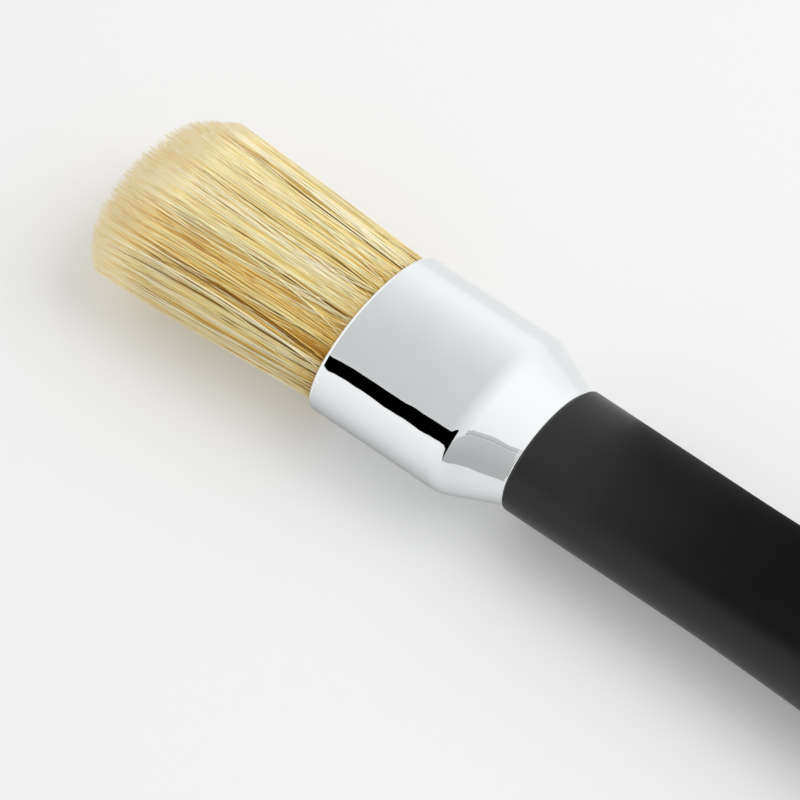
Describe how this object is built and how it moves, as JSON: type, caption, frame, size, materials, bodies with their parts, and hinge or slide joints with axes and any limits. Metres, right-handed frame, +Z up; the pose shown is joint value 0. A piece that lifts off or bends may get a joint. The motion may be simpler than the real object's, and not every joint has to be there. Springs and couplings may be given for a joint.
{
  "type": "pastry brush",
  "caption": "Oval pastry brush with a domed tuft of natural bristles, a chrome ferrule and a soft-grip handle with a hanging hole.",
  "frame": {"origin": "centre of the underside of the bounding box, where the brush lies flat", "axes": "+X along the brush from bristles to handle, +Z up with the oval's short axis, Y across its width"},
  "size_m": [0.2366, 0.0354, 0.0224],
  "materials": {
    "chrome_shell": "mirror chrome",
    "bristle": "natural cream bristle",
    "band_rubber": "matte tan",
    "plug_wood": "bare beech",
    "resin": "cast amber resin",
    "screw_steel": "bright steel",
    "seal_rubber": "matte black",
    "core_plastic": "moulded grey-black",
    "soft_grip": "soft-touch matte black",
    "cap_plastic": "satin black"
  },
  "bodies": {
    "root": {"ferrule": "chrome_shell", "bristle_bundle": "bristle", "root_band": "band_rubber", "spacer_plug": "plug_wood", "resin_plug": "resin", "ferrule_screw": "screw_steel", "screw_washer": "screw_steel", "tang_seal": "seal_rubber", "handle_core": "core_plastic", "handle_grip": "soft_grip", "end_cap": "cap_plastic"}
  },
  "joints": []
}
